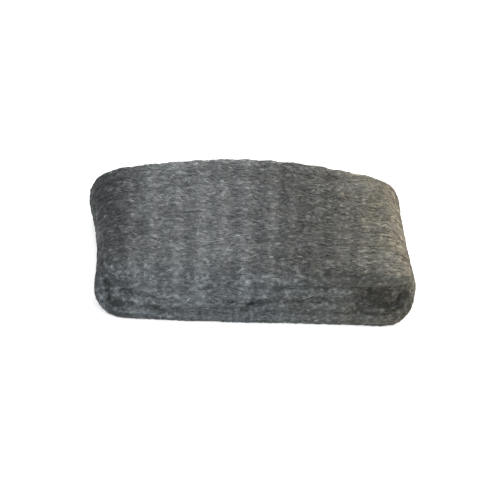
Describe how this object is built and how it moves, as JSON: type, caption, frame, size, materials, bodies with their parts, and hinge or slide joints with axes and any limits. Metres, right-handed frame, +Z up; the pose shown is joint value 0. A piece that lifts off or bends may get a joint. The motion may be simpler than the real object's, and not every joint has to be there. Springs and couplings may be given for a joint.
{
  "type": "steel wool pad",
  "caption": "Flat pad of one steel wool strip wound into pressed turns, with rounded folds at its ends and layer edges showing in its open end faces.",
  "frame": {"origin": "centre of the pad's flat underside, under the middle of its box", "axes": "+X from fold to fold along the fibres, +Y across the strip towards the crowned rear end face, +Z up through the layers"},
  "size_m": [0.1066, 0.0814, 0.0227],
  "materials": {
    "steel_wool": "matted fine steel fibre"
  },
  "bodies": {
    "root": {"steel_wool_pad": "steel_wool"}
  },
  "joints": []
}
